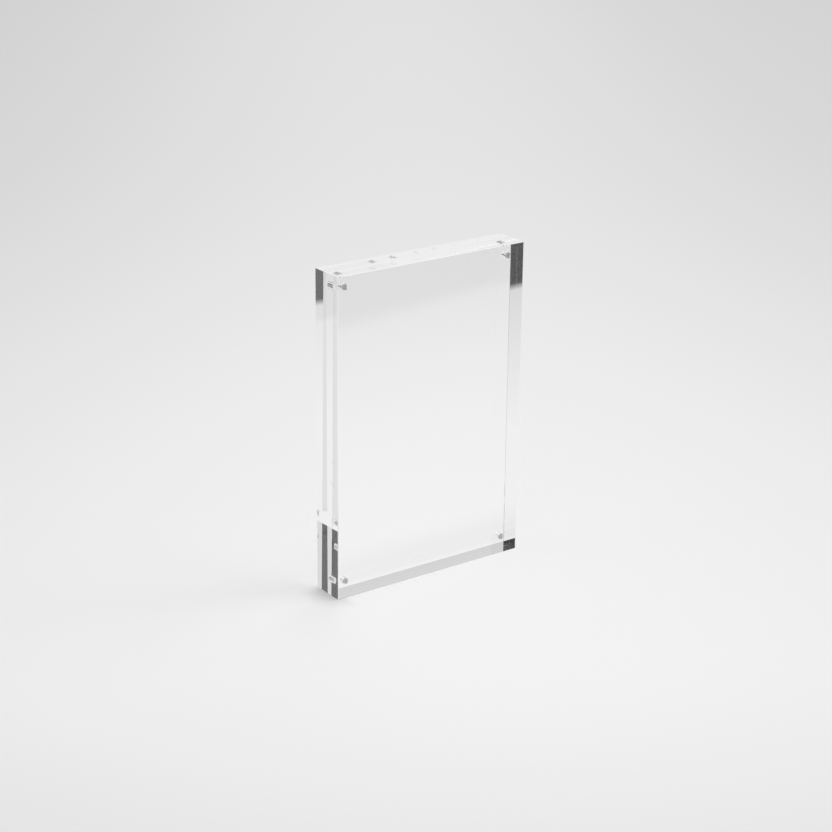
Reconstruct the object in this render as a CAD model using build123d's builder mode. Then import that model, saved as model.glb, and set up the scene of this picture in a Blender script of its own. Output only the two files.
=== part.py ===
from build123d import *
import os

os.makedirs("parts", exist_ok=True)

# A clear block frame: two equal panels stand upright, front to back, and hold a print between them.
# Millimetres, +Z up, the front faces -Y. The origin is the middle of the footprint, on the table.

# Panels, cut from clear cast sheet with polished edges: a fine chamfer round each outer face, and crisp
# edges at the seam and along the foot, so that the two read as one block
panel_width = 102.0
panel_height = 152.0
panel_thickness = 8.6
edge_chamfer = 0.25

# Magnets, one in each corner of each panel, meeting in pairs face to face
magnet_diameter = 3.0
magnet_length = 2.0
magnet_bevel = 0.2
magnet_inset = 6.3
magnet_proud = 0.02

# Blind pockets for the magnets, and the cured drop of glue on each pocket's floor
pocket_clearance = 0.1
pocket_mouth_chamfer = 0.15
glue_thickness = 0.15
glue_margin = 0.3

# Derived: the magnets meet first and keep the polished inner faces a hair apart until a print goes in
print_gap = 2 * magnet_proud
pocket_diameter = magnet_diameter + 2 * pocket_clearance
pocket_depth = magnet_length - magnet_proud + glue_thickness
glue_diameter = magnet_diameter - 2 * glue_margin
pitch_across = panel_width - 2 * magnet_inset
pitch_up = panel_height - 2 * magnet_inset
mid_height = panel_height / 2

# Each panel is drawn on its inner face, looking outwards along the panel's thickness
rear_outward = (0, 1, 0)
front_outward = (0, -1, 0)


def inner_plane(outward, distance, across=0.0, height=mid_height):
    """Plane at a distance from the frame's middle, with its normal towards one panel's outside."""
    return Plane(origin=(across, outward[1] * distance, height), x_dir=(1, 0, 0), z_dir=outward)


with BuildPart(inner_plane(rear_outward, print_gap / 2)) as rear_panel:
    with BuildSketch(inner_plane(rear_outward, print_gap / 2)):
        Rectangle(panel_width, panel_height)
    extrude(amount=panel_thickness)
    foot = rear_panel.faces().sort_by(Axis.Z)[0]
    outer = rear_panel.faces().sort_by(Axis.Y)[-1]
    chamfer(outer.edges() - foot.edges(), edge_chamfer)
    with GridLocations(pitch_across, pitch_up, 2, 2):
        Cylinder(
            pocket_diameter / 2,
            pocket_depth,
            align=(Align.CENTER, Align.CENTER, Align.MIN),
            mode=Mode.SUBTRACT,
        )
    mouths = rear_panel.edges().filter_by(GeomType.CIRCLE).group_by(Axis.Y)[0]
    chamfer(mouths, pocket_mouth_chamfer)
rear_panel.part.label = "rear_panel"
export_step(rear_panel.part, "parts/rear_panel.step")

with BuildPart(inner_plane(front_outward, print_gap / 2)) as front_panel:
    with BuildSketch(inner_plane(front_outward, print_gap / 2)):
        Rectangle(panel_width, panel_height)
    extrude(amount=panel_thickness)
    foot = front_panel.faces().sort_by(Axis.Z)[0]
    outer = front_panel.faces().sort_by(Axis.Y)[0]
    chamfer(outer.edges() - foot.edges(), edge_chamfer)
    with GridLocations(pitch_across, pitch_up, 2, 2):
        Cylinder(
            pocket_diameter / 2,
            pocket_depth,
            align=(Align.CENTER, Align.CENTER, Align.MIN),
            mode=Mode.SUBTRACT,
        )
    mouths = front_panel.edges().filter_by(GeomType.CIRCLE).group_by(Axis.Y)[-1]
    chamfer(mouths, pocket_mouth_chamfer)
front_panel.part.label = "front_panel"
export_step(front_panel.part, "parts/front_panel.step")

# The same corner names serve both panels, seen from the front
corners = {
    "top_left": (-pitch_across / 2, mid_height + pitch_up / 2),
    "top_right": (pitch_across / 2, mid_height + pitch_up / 2),
    "bottom_left": (-pitch_across / 2, mid_height - pitch_up / 2),
    "bottom_right": (pitch_across / 2, mid_height - pitch_up / 2),
}

for side, outward in (("rear", rear_outward), ("front", front_outward)):
    for corner, (across, height) in corners.items():
        # The magnet's working face lies on the frame's middle plane, against its partner
        with BuildPart(inner_plane(outward, 0, across, height)) as magnet:
            Cylinder(magnet_diameter / 2, magnet_length, align=(Align.CENTER, Align.CENTER, Align.MIN))
            chamfer(magnet.edges().filter_by(GeomType.CIRCLE), magnet_bevel)
        magnet.part.label = f"{side}_magnet_{corner}"
        export_step(magnet.part, f"parts/{magnet.part.label}.step")

        # The glue fills the space between the magnet's back and the pocket's floor
        with BuildPart(inner_plane(outward, magnet_length, across, height)) as glue:
            Cylinder(glue_diameter / 2, glue_thickness, align=(Align.CENTER, Align.CENTER, Align.MIN))
        glue.part.label = f"{side}_glue_{corner}"
        export_step(glue.part, f"parts/{glue.part.label}.step")
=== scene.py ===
import math

import bpy
import numpy as np
from mathutils import Matrix, Vector


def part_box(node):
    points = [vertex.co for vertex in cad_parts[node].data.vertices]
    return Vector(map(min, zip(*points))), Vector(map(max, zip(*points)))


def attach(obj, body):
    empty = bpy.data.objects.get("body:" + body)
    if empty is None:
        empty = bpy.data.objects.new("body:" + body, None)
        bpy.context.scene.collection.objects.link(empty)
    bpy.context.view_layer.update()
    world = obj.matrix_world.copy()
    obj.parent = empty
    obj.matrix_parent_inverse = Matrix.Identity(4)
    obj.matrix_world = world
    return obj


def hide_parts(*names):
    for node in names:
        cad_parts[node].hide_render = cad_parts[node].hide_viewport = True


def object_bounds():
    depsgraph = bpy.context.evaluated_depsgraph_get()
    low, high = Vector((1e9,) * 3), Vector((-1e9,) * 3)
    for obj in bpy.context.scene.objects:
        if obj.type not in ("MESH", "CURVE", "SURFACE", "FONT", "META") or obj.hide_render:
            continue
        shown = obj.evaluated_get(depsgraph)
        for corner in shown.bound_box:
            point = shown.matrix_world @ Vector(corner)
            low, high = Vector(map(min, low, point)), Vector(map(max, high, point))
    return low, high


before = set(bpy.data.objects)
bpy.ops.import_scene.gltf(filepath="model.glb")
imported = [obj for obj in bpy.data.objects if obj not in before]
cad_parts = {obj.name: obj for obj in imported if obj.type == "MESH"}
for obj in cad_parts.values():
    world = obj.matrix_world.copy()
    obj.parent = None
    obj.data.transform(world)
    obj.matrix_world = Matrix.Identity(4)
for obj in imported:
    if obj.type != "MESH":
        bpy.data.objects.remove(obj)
cad_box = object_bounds()

bl_info = {
    "name": "Clear magnetic photo frame",
    "version": (1, 0, 0),
    "blender": (4, 5, 0),
    "location": "View3D > Sidebar > Photo frame",
    "description": "Finishes a block frame's clear panels, magnets and glue drops, and sets its stage",
    "category": "Object",
}

MM = 0.001
CORNERS = ("top_left", "top_right", "bottom_left", "bottom_right")
SIDES = ("rear", "front")
MIDDLE = (cad_box[0] + cad_box[1]) / 2

# The photograph's side and its focal length in pixels, and the sensor's width in millimetres
IMAGE_SIDE = 832
FOCAL_PIXELS = 2102.6
SENSOR_WIDTH = 36

# Sockets of a Mix node: its factor, then the two numbers or the two colours between which it mixes
FACTOR, NUMBER_A, NUMBER_B, COLOUR_A, COLOUR_B = 0, 2, 3, 6, 7

# Limits on how often light was mirrored on its way, each between two whole numbers. Light past GUIDED ran
# down a panel from side to side, and past ENDLESS it ran the block's whole height.
MIRRORED = 0.5
TWICE = 1.5
TRAPPED = 2.5
GUIDED = 4.5
ENDLESS = 12.5
ENDLESS_TONE = 0.93

# Under this count a ray has met no matt surface yet: what it finds is seen, and lights nothing
UNSCATTERED = 0.5

# The X of a direction at which the left of the room begins, and at which it is all left
LEFT_BEGINS, LEFT_FULL = 0.1, -0.1


def linear(code):
    """An sRGB hex colour as linear red, green, blue and alpha."""
    parts = np.array([int(code[i:i + 2], 16) for i in (0, 2, 4)]) / 255
    light = np.where(parts <= 0.04045, parts / 12.92, ((parts + 0.055) / 1.055) ** 2.4)
    return (*map(float, light), 1.0)


def node(tree, kind, inputs=None, **settings):
    """Adds a node. Settings are its own properties. Inputs, by socket, are values, or outputs or nodes to
    link, where a node stands for its first output in use."""
    made = tree.nodes.new(kind)
    for name, value in settings.items():
        setattr(made, name, value)
    for socket, value in (inputs or {}).items():
        if isinstance(value, bpy.types.Node):
            value = next(output for output in value.outputs if output.enabled)
        if isinstance(value, bpy.types.NodeSocket):
            tree.links.new(value, made.inputs[socket])
        else:
            made.inputs[socket].default_value = value
    return made


def new_material(name):
    """An empty node material and its tree."""
    material = bpy.data.materials.new(name)
    material.use_nodes = True
    material.node_tree.nodes.clear()
    return material, material.node_tree


def finish_nodes(material, names):
    """Gives the CAD nodes of these names this material."""
    for name in names:
        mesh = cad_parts[name].data
        mesh.materials.clear()
        mesh.materials.append(material)


class FrameFinish(bpy.types.PropertyGroup):
    """Colours and sizes of the frame's own finishes."""

    acrylic_index: bpy.props.FloatProperty(
        name="Acrylic index", description="How strongly the clear panels bend light",
        default=1.491, min=1.3, max=1.7)
    polish_pitch: bpy.props.FloatProperty(
        name="Polish pitch", description="Spacing of the faint waves that edge polishing leaves",
        default=6.0 * MM, min=0.5 * MM, subtype="DISTANCE", unit="LENGTH")
    polish_depth: bpy.props.FloatProperty(
        name="Polish depth", description="Height of those waves",
        default=0.0004 * MM, min=0.0, subtype="DISTANCE", unit="LENGTH", precision=6)
    nickel_light: bpy.props.FloatVectorProperty(
        name="Nickel, light", description="Bright nickel plate",
        default=linear("E2E1E0")[:3], size=3, subtype="COLOR")
    nickel_dark: bpy.props.FloatVectorProperty(
        name="Nickel, dark", description="Plate dulled by handling",
        default=linear("D0CFCD")[:3], size=3, subtype="COLOR")
    nickel_grain: bpy.props.FloatProperty(
        name="Nickel grain", description="Size of the plate's soft mottling",
        default=0.5 * MM, min=0.05 * MM, subtype="DISTANCE", unit="LENGTH")
    glue_tint: bpy.props.FloatVectorProperty(
        name="Glue", description="Cured clear adhesive",
        default=linear("FEFEFE")[:3], size=3, subtype="COLOR")
    bubble_pitch: bpy.props.FloatProperty(
        name="Bubble pitch", description="Spacing of the small bubbles caught in the glue",
        default=0.35 * MM, min=0.05 * MM, subtype="DISTANCE", unit="LENGTH")


class FrameStage(bpy.types.PropertyGroup):
    """Sizes and tones of the floor, surroundings, lamp and camera."""

    # The floor's colour carries a painted pool of light, from its near tone out to its far tone
    pool_tone: bpy.props.FloatProperty(
        name="Floor near", description="Tone of the pale floor in its pool of light",
        default=0.9085, min=0.0, max=1.0)
    far_tone: bpy.props.FloatProperty(
        name="Floor far", description="Tone of the pale floor far away", default=0.652, min=0.0, max=1.0)
    sky_light: bpy.props.FloatProperty(
        name="Room light", description="Even light from all round", default=0.93, min=0.0)
    lamp_power: bpy.props.FloatProperty(
        name="Lamp power", description="Large soft lamp above, to the right",
        default=12.0, min=0.0, subtype="POWER", unit="POWER")
    # Edges of the painted lit table, which only reflections show
    front_edge: bpy.props.FloatProperty(
        name="Front edge", description="Where the lit table ends in front",
        default=-0.298, subtype="DISTANCE", unit="LENGTH")
    back_edge: bpy.props.FloatProperty(
        name="Back edge", description="Where the lit table ends behind",
        default=0.3235, subtype="DISTANCE", unit="LENGTH")
    focal_length: bpy.props.FloatProperty(
        name="Focal length", description="Lens on a 36 mm wide sensor",
        default=FOCAL_PIXELS / IMAGE_SIDE * SENSOR_WIDTH, subtype="DISTANCE_CAMERA", unit="CAMERA")


class PHOTOFRAME_OT_panels(bpy.types.Operator):
    """Finish the two panels as polished clear acrylic"""

    bl_idname = "photo_frame.panels"
    bl_label = "Panels"

    def execute(self, context):
        finish = context.scene.photo_frame_finish
        # Cast acrylic, faces as cast and edges diamond polished: water clear, mirror bright inside by total
        # reflection, and very slightly wavy, which the eye reads as a soft wobble in the edges' reflections.
        material, tree = new_material("cast_acrylic_polished")
        place = node(tree, "ShaderNodeTexCoord")
        waves = node(tree, "ShaderNodeTexNoise", {
            "Vector": place.outputs["Object"], "Scale": 1 / finish.polish_pitch,
            "Detail": 1.0, "Roughness": 0.4})
        bump = node(tree, "ShaderNodeBump", {
            "Strength": 1.0, "Distance": finish.polish_depth, "Height": waves.outputs["Fac"]})
        shader = node(tree, "ShaderNodeBsdfPrincipled", {
            "Base Color": (1, 1, 1, 1), "Transmission Weight": 1.0, "Roughness": 0.0,
            "IOR": finish.acrylic_index, "Normal": bump})
        node(tree, "ShaderNodeOutputMaterial", {"Surface": shader})
        finish_nodes(material, ("rear_panel", "front_panel"))
        return {"FINISHED"}


class PHOTOFRAME_OT_magnets(bpy.types.Operator):
    """Finish the eight magnets as nickel plate"""

    bl_idname = "photo_frame.magnets"
    bl_label = "Magnets"

    def execute(self, context):
        finish = context.scene.photo_frame_finish
        dull_from, dull_to = 0.3, 0.7
        roughness_least, roughness_most = 0.28, 0.44
        dent_depth = 0.01 * MM
        # Barrel plated nickel on a sintered core: a light, neutral silver with a satin gloss, mottled where
        # the pieces tumbled against each other. The mottling is drawn coarser than it is, so that it shows.
        material, tree = new_material("nickel_barrel_plated")
        place = node(tree, "ShaderNodeTexCoord")
        mottle = node(tree, "ShaderNodeTexNoise", {
            "Vector": place.outputs["Object"], "Scale": 1 / finish.nickel_grain,
            "Detail": 3.0, "Roughness": 0.6})
        tone = node(tree, "ShaderNodeMix", {
            FACTOR: mottle.outputs["Fac"], COLOUR_A: (*finish.nickel_dark, 1),
            COLOUR_B: (*finish.nickel_light, 1)}, data_type="RGBA")
        roughness = node(tree, "ShaderNodeMapRange", {
            "Value": mottle.outputs["Fac"], "From Min": dull_from, "From Max": dull_to,
            "To Min": roughness_least, "To Max": roughness_most})
        dents = node(tree, "ShaderNodeBump", {
            "Strength": 0.4, "Distance": dent_depth, "Height": mottle.outputs["Fac"]})
        shader = node(tree, "ShaderNodeBsdfPrincipled", {
            "Base Color": tone, "Metallic": 1.0, "Roughness": roughness, "Normal": dents})
        node(tree, "ShaderNodeOutputMaterial", {"Surface": shader})
        finish_nodes(material, [f"{side}_magnet_{corner}" for side in SIDES for corner in CORNERS])
        return {"FINISHED"}


def glue_drop(name, low, high, turn):
    """A flattened drop on the X-Z plane between two Y values, inside the box low to high.

    Round the drop, the radius is the box's half width less a little, with a soft two and three lobed wander.
    Across it, the outline from one flat face over the rim to the other is a superellipse of power four, so
    the faces are flat and the rim is round. Both poles are single points.
    """
    ring, bands = 48, 16
    thinness, mean_radius, two_lobes, three_lobes, lobe_turn = 0.86, 0.93, 0.04, 0.03, 2.1
    power = 4
    around = np.linspace(0, 2 * np.pi, ring, endpoint=False)
    across = np.linspace(-np.pi / 2, np.pi / 2, bands + 1)[1:-1]
    rows = len(across)
    centre = (np.array(low) + np.array(high)) / 2
    reach = (high[0] - low[0]) / 2
    half = (high[1] - low[1]) / 2 * thinness
    wander = mean_radius + two_lobes * np.sin(2 * around + turn)
    wander = wander + three_lobes * np.sin(3 * around + lobe_turn * turn)
    out = np.abs(np.cos(across)) ** (2 / power)
    rise = np.sign(np.sin(across)) * np.abs(np.sin(across)) ** (2 / power)
    x = centre[0] + reach * np.outer(out, wander * np.cos(around))
    y = centre[1] + half * np.outer(rise, np.ones_like(around))
    z = centre[2] + reach * np.outer(out, wander * np.sin(around))
    points = np.stack([x, y, z], -1).reshape(-1, 3)
    poles = np.array([[centre[0], centre[1] - half, centre[2]], [centre[0], centre[1] + half, centre[2]]])
    grid = np.arange(rows * ring).reshape(rows, ring)
    step = np.roll(grid, -1, 1)
    quads = np.stack([grid[:-1], grid[1:], step[1:], step[:-1]], -1).reshape(-1, 4)
    first = np.stack([np.full(ring, rows * ring), grid[0], step[0]], -1)
    last = np.stack([np.full(ring, rows * ring + 1), step[-1], grid[-1]], -1)
    mesh = bpy.data.meshes.new(name)
    mesh.from_pydata(np.vstack([points, poles]), [], quads.tolist() + first.tolist() + last.tolist())
    mesh.shade_smooth()
    drop = bpy.data.objects.new(name, mesh)
    bpy.context.scene.collection.objects.link(drop)
    return drop


class PHOTOFRAME_OT_glue(bpy.types.Operator):
    """Put a cured drop of glue behind each magnet"""

    bl_idname = "photo_frame.glue"
    bl_label = "Glue drops"

    def execute(self, context):
        finish = context.scene.photo_frame_finish
        glue_index = 1.48
        bubble_rim, bubble_end = 0.1, 0.35
        dimple_depth = 0.02 * MM
        # Each drop's outline is turned on by some radians, so that no two are alike
        first_turn = {"rear": 4.0, "front": 5.0}
        turn_step = 1.3
        # Clear adhesive cured between the magnet and the pocket: nearly water clear, with a few tiny bubbles
        # that dimple its surface and soften what shows through.
        material, tree = new_material("clear_adhesive_cured")
        place = node(tree, "ShaderNodeTexCoord")
        bubbles = node(tree, "ShaderNodeTexVoronoi", {
            "Vector": place.outputs["Object"], "Scale": 1 / finish.bubble_pitch})
        dimples = node(tree, "ShaderNodeMapRange", {
            "Value": bubbles.outputs["Distance"], "From Min": bubble_rim, "From Max": bubble_end})
        bump = node(tree, "ShaderNodeBump", {
            "Strength": 0.5, "Distance": dimple_depth, "Height": dimples})
        shader = node(tree, "ShaderNodeBsdfPrincipled", {
            "Base Color": (*finish.glue_tint, 1), "Transmission Weight": 1.0, "Roughness": 0.05,
            "IOR": glue_index, "Normal": bump})
        node(tree, "ShaderNodeOutputMaterial", {"Surface": shader})
        for side in SIDES:
            for i, corner in enumerate(CORNERS):
                stood_for = f"{side}_glue_{corner}"
                turn = turn_step * i + first_turn[side]
                drop = glue_drop(f"{side}_glue_drop_{corner}", *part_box(stood_for), turn)
                drop.data.materials.append(material)
                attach(drop, f"{side}_block")
                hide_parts(stood_for)
        return {"FINISHED"}


class PHOTOFRAME_OT_stage(bpy.types.Operator):
    """Set the floor, surroundings, lamp and camera"""

    bl_idname = "photo_frame.stage"
    bl_label = "Stage"

    def painted_pool_of_light(self, tree, place, stage):
        """A painted pool of light in the floor's colour: a sum of two oval bell curves, turned almost to the
        camera's heading. A long one runs away from the camera, and a wide one falls off quickly in front and
        slowly behind.
        Each is 1/e to the power of the squared distance from its middle, counted in the oval's half widths."""
        turn = math.radians(33.46)
        offset = (-0.0219, 0.0953, 0)
        # Each oval's half widths in metres: across, behind its middle and before it
        long_oval = (0.3133, 5.0, 5.0)
        wide_oval = (1.2, 0.5383, 0.1575)
        turned = node(tree, "ShaderNodeMapping", {
            "Vector": place.outputs["Object"], "Rotation": (0, 0, turn), "Location": offset})
        along = node(tree, "ShaderNodeSeparateXYZ", {0: turned})
        bells = []
        for wide, deep, shallow in (long_oval, wide_oval):
            across = node(tree, "ShaderNodeMath", {0: along.outputs["X"], 1: wide}, operation="DIVIDE")
            behind = node(tree, "ShaderNodeMath", {0: along.outputs["Y"], 1: deep}, operation="DIVIDE")
            before = node(tree, "ShaderNodeMath", {0: along.outputs["Y"], 1: -shallow}, operation="DIVIDE")
            depth = node(tree, "ShaderNodeMath", {0: behind, 1: before}, operation="MAXIMUM")
            oval = node(tree, "ShaderNodeCombineXYZ", {"X": across, "Y": depth})
            square = node(tree, "ShaderNodeVectorMath", {0: oval, 1: oval}, operation="DOT_PRODUCT")
            bells.append(node(tree, "ShaderNodeMath", {0: math.exp(-1), 1: square}, operation="POWER"))
        both = node(tree, "ShaderNodeMath", {0: bells[0], 1: bells[1]}, operation="ADD")
        return node(tree, "ShaderNodeMapRange", {
            "Value": both, "From Max": len(bells), "To Min": stage.far_tone, "To Max": stage.pool_tone})

    def painted_table_reflection(self, tree, place, path, stage):
        """The painted reflection of a lit table: the tone the floor glows with for light that was reflected
        on its way. Its painted light dims towards its back and front edges, a painted shade of the block
        lies on the left, and it ends in painted dark. Pairs of tones are for light mirrored a few times and
        for light guided down a panel. All are matched to the photograph."""
        back_edge_tones, shade_tones, front_void_tones = (0.68, 0.78), (0.75, 0.4), (0.27, 0.7)
        behind_tone, before_tone, front_edge_tone, guided_front_tone = 0.875, 0.85, 0.66, 0.73
        # Painted shade on the table close in front of the block
        painted_close_shade = 0.6
        dark_left, dark_right = 0.004, 0.11
        # Places in metres. Each edge runs askew by so much for each metre to the right.
        back_skew, front_skew = 0.07, 0.154
        dims_behind, dims_before = 0.13, -0.16
        edge_blur = 0.012
        close_from, close_to = -0.038, -0.028
        front_line = -0.012
        rightwards = (0.836, -0.55, 0.0)
        left_from, left_to_guided, left_to_other = 0.0426, 0.042, -0.2
        shade_side, shade_line = -0.052, (1.0, 0.72, 0.0)
        dark_from, dark_to = -0.05, 0.05
        front_void_side = -0.06

        guided = node(tree, "ShaderNodeMath", {
            0: path.outputs["Glossy Depth"], 1: GUIDED}, operation="GREATER_THAN")
        at = node(tree, "ShaderNodeSeparateXYZ", {0: place.outputs["Object"]})
        to_back = node(tree, "ShaderNodeMath", {
            0: at.outputs["X"], 1: back_skew, 2: at.outputs["Y"]}, operation="MULTIPLY_ADD")
        to_front = node(tree, "ShaderNodeMath", {
            0: at.outputs["X"], 1: front_skew, 2: at.outputs["Y"]}, operation="MULTIPLY_ADD")

        # Behind the block, and before it, with painted dimming towards the edges and painted shade on the
        # strip close to the foot
        back_edge_tone = node(tree, "ShaderNodeMix", {
            FACTOR: guided, NUMBER_A: back_edge_tones[0], NUMBER_B: back_edge_tones[1]})
        rear_part = node(tree, "ShaderNodeMapRange", {
            "Value": to_back, "From Min": dims_behind, "From Max": stage.back_edge,
            "To Min": behind_tone, "To Max": back_edge_tone})
        dimming = node(tree, "ShaderNodeMapRange", {
            "Value": to_front, "From Min": dims_before, "From Max": stage.front_edge,
            "To Min": before_tone, "To Max": front_edge_tone})
        close = node(tree, "ShaderNodeMapRange", {
            "Value": at.outputs["Y"], "From Min": close_from, "From Max": close_to,
            "To Min": 1.0, "To Max": painted_close_shade})
        few_front = node(tree, "ShaderNodeMath", {0: dimming, 1: close}, operation="MULTIPLY")
        front_part = node(tree, "ShaderNodeMix", {
            FACTOR: guided, NUMBER_A: few_front, NUMBER_B: guided_front_tone})
        before = node(tree, "ShaderNodeMath", {0: at.outputs["Y"], 1: front_line}, operation="LESS_THAN")
        table = node(tree, "ShaderNodeMix", {FACTOR: before, NUMBER_A: rear_part, NUMBER_B: front_part})

        # Painted shade of the block, to its left
        shade_tone = node(tree, "ShaderNodeMix", {
            FACTOR: guided, NUMBER_A: shade_tones[0], NUMBER_B: shade_tones[1]})
        across_line = node(tree, "ShaderNodeVectorMath", {
            0: place.outputs["Object"], 1: shade_line}, operation="DOT_PRODUCT")
        past_line = node(tree, "ShaderNodeMath", {0: across_line, 1: 0.0}, operation="LESS_THAN")
        past_side = node(tree, "ShaderNodeMath", {0: at.outputs["X"], 1: shade_side}, operation="LESS_THAN")
        painted_shade_mask = node(tree, "ShaderNodeMath", {0: past_line, 1: past_side}, operation="MULTIPLY")
        table = node(tree, "ShaderNodeMix", {FACTOR: painted_shade_mask, NUMBER_A: table, NUMBER_B: shade_tone})

        # Painted dark beyond the back edge, on the left of the line of sight
        sideways = node(tree, "ShaderNodeVectorMath", {
            0: place.outputs["Object"], 1: rightwards}, operation="DOT_PRODUCT")
        left_to = node(tree, "ShaderNodeMix", {
            FACTOR: guided, NUMBER_A: left_to_other, NUMBER_B: left_to_guided})
        left = node(tree, "ShaderNodeMapRange", {
            "Value": sideways, "From Min": left_from, "From Max": left_to})
        past_back = node(tree, "ShaderNodeMapRange", {
            "Value": to_back, "From Min": stage.back_edge - edge_blur / 2,
            "From Max": stage.back_edge + edge_blur / 2})
        beyond = node(tree, "ShaderNodeMath", {0: past_back, 1: left}, operation="MULTIPLY")
        dark_tone = node(tree, "ShaderNodeMapRange", {
            "Value": at.outputs["X"], "From Min": dark_from, "From Max": dark_to,
            "To Min": dark_left, "To Max": dark_right})
        table = node(tree, "ShaderNodeMix", {FACTOR: beyond, NUMBER_A: table, NUMBER_B: dark_tone})

        # A painted dimmer room beyond the front edge, but for its left end
        past_front = node(tree, "ShaderNodeMapRange", {
            "Value": to_front, "From Min": stage.front_edge, "From Max": stage.front_edge - edge_blur})
        right = node(tree, "ShaderNodeMath", {
            0: at.outputs["X"], 1: front_void_side}, operation="GREATER_THAN")
        in_front = node(tree, "ShaderNodeMath", {0: past_front, 1: right}, operation="MULTIPLY")
        front_void = node(tree, "ShaderNodeMix", {
            FACTOR: guided, NUMBER_A: front_void_tones[0], NUMBER_B: front_void_tones[1]})
        table = node(tree, "ShaderNodeMix", {FACTOR: in_front, NUMBER_A: table, NUMBER_B: front_void})

        endless = node(tree, "ShaderNodeMath", {
            0: path.outputs["Glossy Depth"], 1: ENDLESS}, operation="GREATER_THAN")
        return node(tree, "ShaderNodeMix", {FACTOR: endless, NUMBER_A: table, NUMBER_B: ENDLESS_TONE})

    def painted_contact_shadow(self, tree, place, pool):
        """The painted pool of light with a painted contact shadow: darker close along the block's left side,
        where much of the sky is shut out.
        """
        reach = 12.0 * MM
        open_sky, half_shut = 1.0, 0.5
        lightest, darkest = 0.0, 0.32
        side_from, side_to = -45.0 * MM, -51.0 * MM
        rear_from, rear_to = 11.0 * MM, 5.0 * MM
        at = node(tree, "ShaderNodeSeparateXYZ", {0: place.outputs["Object"]})
        crevice = node(tree, "ShaderNodeAmbientOcclusion", {"Distance": reach}, samples=4)
        shut = node(tree, "ShaderNodeMapRange", {
            "Value": crevice.outputs["AO"], "From Min": open_sky, "From Max": half_shut,
            "To Min": lightest, "To Max": darkest})
        beside = node(tree, "ShaderNodeMapRange", {
            "Value": at.outputs["X"], "From Min": side_from, "From Max": side_to})
        abreast = node(tree, "ShaderNodeMapRange", {
            "Value": at.outputs["Y"], "From Min": rear_from, "From Max": rear_to})
        within = node(tree, "ShaderNodeMath", {0: beside, 1: abreast}, operation="MULTIPLY")
        contact = node(tree, "ShaderNodeMath", {0: shut, 1: within}, operation="MULTIPLY")
        return node(tree, "ShaderNodeMix", {FACTOR: contact, NUMBER_A: pool, NUMBER_B: 0.0})

    def floor(self, stage):
        """A pale floor just under the frame, its colour carrying a painted pool of light. Seen through clear
        plastic it glows with that painted pool of light, and seen by way of a reflection it glows as a
        painted lit table."""
        half, low = 15.0, -0.1 * MM
        # Matt paper: no gloss at all, so the eye sees only its painted pool of light, its painted contact
        # shadow and real soft shadows
        material, tree = new_material("paper_sweep_matt")
        place = node(tree, "ShaderNodeTexCoord")
        path = node(tree, "ShaderNodeLightPath")
        pool = self.painted_pool_of_light(tree, place, stage)
        table = self.painted_table_reflection(tree, place, path, stage)
        # Rays that come through the block or off it see the floor glow with painted light: the pool straight
        # through, the lit table in reflections
        mirrored = node(tree, "ShaderNodeMath", {
            0: path.outputs["Glossy Depth"], 1: MIRRORED}, operation="GREATER_THAN")
        seen = node(tree, "ShaderNodeMix", {FACTOR: mirrored, NUMBER_A: pool, NUMBER_B: table})
        bright = node(tree, "ShaderNodeMath", {
            0: path.outputs["Is Glossy Ray"], 1: path.outputs["Is Transmission Ray"]}, operation="MAXIMUM")
        direct = node(tree, "ShaderNodeMath", {
            0: path.outputs["Diffuse Depth"], 1: UNSCATTERED}, operation="LESS_THAN")
        through = node(tree, "ShaderNodeMath", {0: bright, 1: direct}, operation="MULTIPLY")
        matt = node(tree, "ShaderNodeBsdfDiffuse", {"Color": self.painted_contact_shadow(tree, place, pool)})
        plain = node(tree, "ShaderNodeEmission", {"Color": seen, "Strength": 1.0})
        mixed = node(tree, "ShaderNodeMixShader", {0: through, 1: matt, 2: plain})
        node(tree, "ShaderNodeOutputMaterial", {"Surface": mixed})
        mesh = bpy.data.meshes.new("floor")
        corners = [(-half, -half, low), (half, -half, low), (half, half, low), (-half, half, low)]
        mesh.from_pydata(corners, [], [(0, 1, 2, 3)])
        mesh.materials.append(material)
        sheet = bpy.data.objects.new("floor", mesh)
        bpy.context.scene.collection.objects.link(sheet)

    def painted_room_reflection(self, tree, place, path):
        """Painted reflections: the room's tone, by direction, as only light reflected on its way sees it.

        Light guided down a panel sees a painted backdrop behind on the right, dimmer higher up, or painted
        dark.
        Light mirrored two to four times sees painted dark on the left alone. In the photograph's view, only
        what isn't square to the axes, such as a magnet, throws light off steeper or flatter than it came,
        and such light sees a pale painted room. Light mirrored once sees a plain one, a little dimmer at the
        backdrop, and light mirrored endlessly sees an even mean. High up behind, light mirrored up to four
        times sees a painted bright screen, which paints the magnets' glints.
        """
        dark = 0.03
        backwards, backdrop_from, backdrop_to = (0.585, 0.811, 0.0), 0.42, 0.58
        low, high, low_tone, high_tone = 0.335, 0.375, 0.95, 0.67
        few_tone = 0.82
        usual_slope, unusual_from, unusual_to, unusual_tone = 0.35, 0.09, 0.13, 0.97
        plain_tone, plain_backdrop_tone = 0.8, 0.64
        screen_low, screen_high, screen_near, screen_far, screen_tone = 0.5, 0.7, 0.55, 0.65, 1.2

        way = node(tree, "ShaderNodeSeparateXYZ", {0: place.outputs["Generated"]})
        back = node(tree, "ShaderNodeVectorMath", {
            0: place.outputs["Generated"], 1: backwards}, operation="DOT_PRODUCT")
        backdrop = node(tree, "ShaderNodeMapRange", {
            "Value": back, "From Min": backdrop_from, "From Max": backdrop_to})
        backdrop_tone = node(tree, "ShaderNodeMapRange", {
            "Value": way.outputs["Z"], "From Min": low, "From Max": high,
            "To Min": low_tone, "To Max": high_tone})
        room = node(tree, "ShaderNodeMix", {FACTOR: backdrop, NUMBER_A: dark, NUMBER_B: backdrop_tone})

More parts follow.
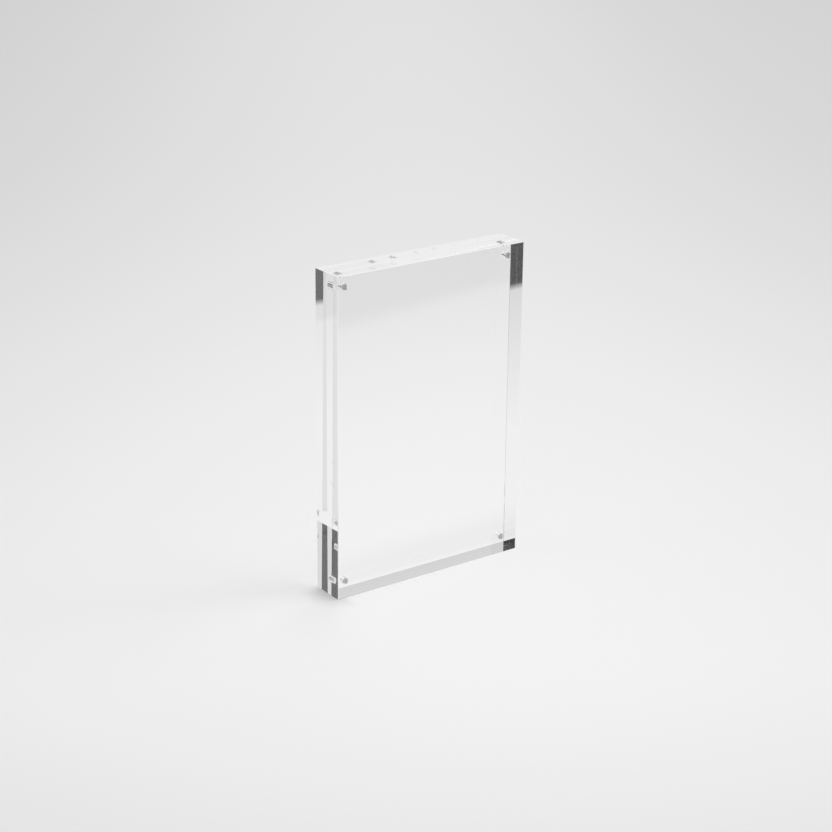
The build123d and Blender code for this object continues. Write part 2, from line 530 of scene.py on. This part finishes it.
        few = node(tree, "ShaderNodeMath", {
            0: path.outputs["Glossy Depth"], 1: GUIDED}, operation="LESS_THAN")
        left = node(tree, "ShaderNodeMapRange", {
            "Value": way.outputs["X"], "From Min": LEFT_BEGINS, "From Max": LEFT_FULL})
        few_room = node(tree, "ShaderNodeMix", {FACTOR: left, NUMBER_A: few_tone, NUMBER_B: dark})
        room = node(tree, "ShaderNodeMix", {FACTOR: few, NUMBER_A: room, NUMBER_B: few_room})

        over = node(tree, "ShaderNodeMath", {0: way.outputs["Z"], 1: usual_slope}, operation="SUBTRACT")
        off = node(tree, "ShaderNodeMath", {0: over}, operation="ABSOLUTE")
        unusual = node(tree, "ShaderNodeMapRange", {
            "Value": off, "From Min": unusual_from, "From Max": unusual_to})
        room = node(tree, "ShaderNodeMix", {FACTOR: unusual, NUMBER_A: room, NUMBER_B: unusual_tone})

        once = node(tree, "ShaderNodeMath", {
            0: path.outputs["Glossy Depth"], 1: TWICE}, operation="LESS_THAN")
        plain = node(tree, "ShaderNodeMix", {
            FACTOR: backdrop, NUMBER_A: plain_tone, NUMBER_B: plain_backdrop_tone})
        room = node(tree, "ShaderNodeMix", {FACTOR: once, NUMBER_A: room, NUMBER_B: plain})
        endless = node(tree, "ShaderNodeMath", {
            0: path.outputs["Glossy Depth"], 1: ENDLESS}, operation="GREATER_THAN")
        room = node(tree, "ShaderNodeMix", {FACTOR: endless, NUMBER_A: room, NUMBER_B: ENDLESS_TONE})

        # A painted bright screen high up behind, seen only in reflections, for the magnets' painted glints
        steep = node(tree, "ShaderNodeMapRange", {
            "Value": way.outputs["Z"], "From Min": screen_low, "From Max": screen_high})
        rearward = node(tree, "ShaderNodeMapRange", {
            "Value": way.outputs["Y"], "From Min": screen_near, "From Max": screen_far})
        screen = node(tree, "ShaderNodeMath", {0: steep, 1: rearward}, operation="MULTIPLY")
        in_sight = node(tree, "ShaderNodeMath", {0: screen, 1: few}, operation="MULTIPLY")
        return node(tree, "ShaderNodeMix", {FACTOR: in_sight, NUMBER_A: room, NUMBER_B: screen_tone})

    def surroundings(self, stage):
        """Even light from all round for matt surfaces, less what the block keeps from them; straight ahead
        the floor's far tone; and painted reflections of a room, which only reflected light sees."""
        world = bpy.data.worlds.new("studio")
        bpy.context.scene.world = world
        world.use_nodes = True
        tree = world.node_tree
        tree.nodes.clear()
        place = node(tree, "ShaderNodeTexCoord")
        path = node(tree, "ShaderNodeLightPath")
        room = self.painted_room_reflection(tree, place, path)
        mirrored = node(tree, "ShaderNodeMath", {
            0: path.outputs["Glossy Depth"], 1: MIRRORED}, operation="GREATER_THAN")
        seen = node(tree, "ShaderNodeMix", {
            FACTOR: mirrored, NUMBER_A: stage.far_tone * stage.sky_light, NUMBER_B: room})
        # Light that leaves the block after three reflections or more reaches the floor from the left alone
        way = node(tree, "ShaderNodeSeparateXYZ", {0: place.outputs["Generated"]})
        trapped = node(tree, "ShaderNodeMath", {
            0: path.outputs["Glossy Depth"], 1: TRAPPED}, operation="GREATER_THAN")
        from_left = node(tree, "ShaderNodeMapRange", {
            "Value": way.outputs["X"], "From Min": LEFT_BEGINS, "From Max": LEFT_FULL,
            "To Min": 0.0, "To Max": stage.sky_light})
        sky = node(tree, "ShaderNodeMix", {FACTOR: trapped, NUMBER_A: stage.sky_light, NUMBER_B: from_left})
        direct = node(tree, "ShaderNodeMath", {
            0: path.outputs["Diffuse Depth"], 1: UNSCATTERED}, operation="LESS_THAN")
        tone = node(tree, "ShaderNodeMix", {FACTOR: direct, NUMBER_A: sky, NUMBER_B: seen})
        glow = node(tree, "ShaderNodeBackground", {"Color": tone, "Strength": 1.0})
        node(tree, "ShaderNodeOutputWorld", {"Surface": glow})

    def lamp(self, stage):
        """One large soft disc above, to the right."""
        width, location = 2.0, (2.4, -0.4, 2.6)
        disc = bpy.data.lights.new("soft_lamp", "AREA")
        disc.shape = "DISK"
        disc.size = width
        disc.energy = stage.lamp_power
        lamp = bpy.data.objects.new("soft_lamp", disc)
        lamp.location = location
        lamp.rotation_euler = (MIDDLE - lamp.location).to_track_quat("-Z", "Y").to_euler()
        bpy.context.scene.collection.objects.link(lamp)

    def camera(self, stage):
        """Stands in front, to the left and above, turned by its heading, tilt and roll, and set back along
        its view so that the frame's middle falls a few pixels off the image's middle."""
        heading, tilt, roll = 0.6273, 0.3556, 0.0104
        distance, right_px, down_px = 0.96029, 4.15, -1.14
        nearest, farthest = 0.01, 100
        pixel = distance / (stage.focal_length / SENSOR_WIDTH * IMAGE_SIDE)
        forward = Vector((math.sin(heading), math.cos(heading), 0))
        ahead = forward * math.cos(tilt) - Vector((0, 0, math.sin(tilt)))
        level = Vector((math.cos(heading), -math.sin(heading), 0))
        upright = level.cross(ahead)
        side = level * math.cos(roll) + upright * math.sin(roll)
        up = upright * math.cos(roll) - level * math.sin(roll)
        eye = MIDDLE - ahead * distance - side * (right_px * pixel) + up * (down_px * pixel)
        lens = bpy.data.cameras.new("camera")
        lens.sensor_width = SENSOR_WIDTH
        lens.lens = stage.focal_length
        lens.clip_start = nearest
        lens.clip_end = farthest
        camera = bpy.data.objects.new("camera", lens)
        turn = Matrix((side, up, -ahead)).transposed().to_4x4()
        camera.matrix_world = Matrix.Translation(eye) @ turn
        bpy.context.scene.collection.objects.link(camera)
        bpy.context.scene.camera = camera

    def execute(self, context):
        scene = context.scene
        stage = scene.photo_frame_stage
        self.floor(stage)
        self.surroundings(stage)
        self.lamp(stage)
        self.camera(stage)
        scene.view_settings.view_transform = "Standard"
        # Light runs down a clear panel by dozens of inner reflections before it leaves
        inner_reflections = 64
        scene.cycles.max_bounces = inner_reflections
        scene.cycles.glossy_bounces = inner_reflections
        scene.cycles.transmission_bounces = inner_reflections
        # Inner reflections stay as crisp as the polish makes them
        scene.cycles.blur_glossy = 0.0
        scene.cycles.use_denoising = True
        return {"FINISHED"}


class PHOTOFRAME_PT_panel(bpy.types.Panel):
    """Lists the frame's pieces and stage"""

    bl_idname = "PHOTOFRAME_PT_panel"
    bl_label = "Clear magnetic photo frame"
    bl_space_type = "VIEW_3D"
    bl_region_type = "UI"
    bl_category = "Photo frame"

    def draw(self, context):
        for group in (context.scene.photo_frame_finish, context.scene.photo_frame_stage):
            for name in group.__annotations__:
                self.layout.prop(group, name)
        for operator in OPERATORS:
            self.layout.operator(operator.bl_idname)


OPERATORS = (PHOTOFRAME_OT_panels, PHOTOFRAME_OT_magnets, PHOTOFRAME_OT_glue, PHOTOFRAME_OT_stage)
CLASSES = (FrameFinish, FrameStage, *OPERATORS, PHOTOFRAME_PT_panel)


def register():
    for item in CLASSES:
        bpy.utils.register_class(item)
    bpy.types.Scene.photo_frame_finish = bpy.props.PointerProperty(type=FrameFinish)
    bpy.types.Scene.photo_frame_stage = bpy.props.PointerProperty(type=FrameStage)


def unregister():
    del bpy.types.Scene.photo_frame_stage
    del bpy.types.Scene.photo_frame_finish
    for item in reversed(CLASSES):
        bpy.utils.unregister_class(item)


def main():
    register()
    bpy.ops.photo_frame.panels()
    bpy.ops.photo_frame.magnets()
    bpy.ops.photo_frame.glue()
    bpy.ops.photo_frame.stage()


if __name__ == "__main__":
    main()
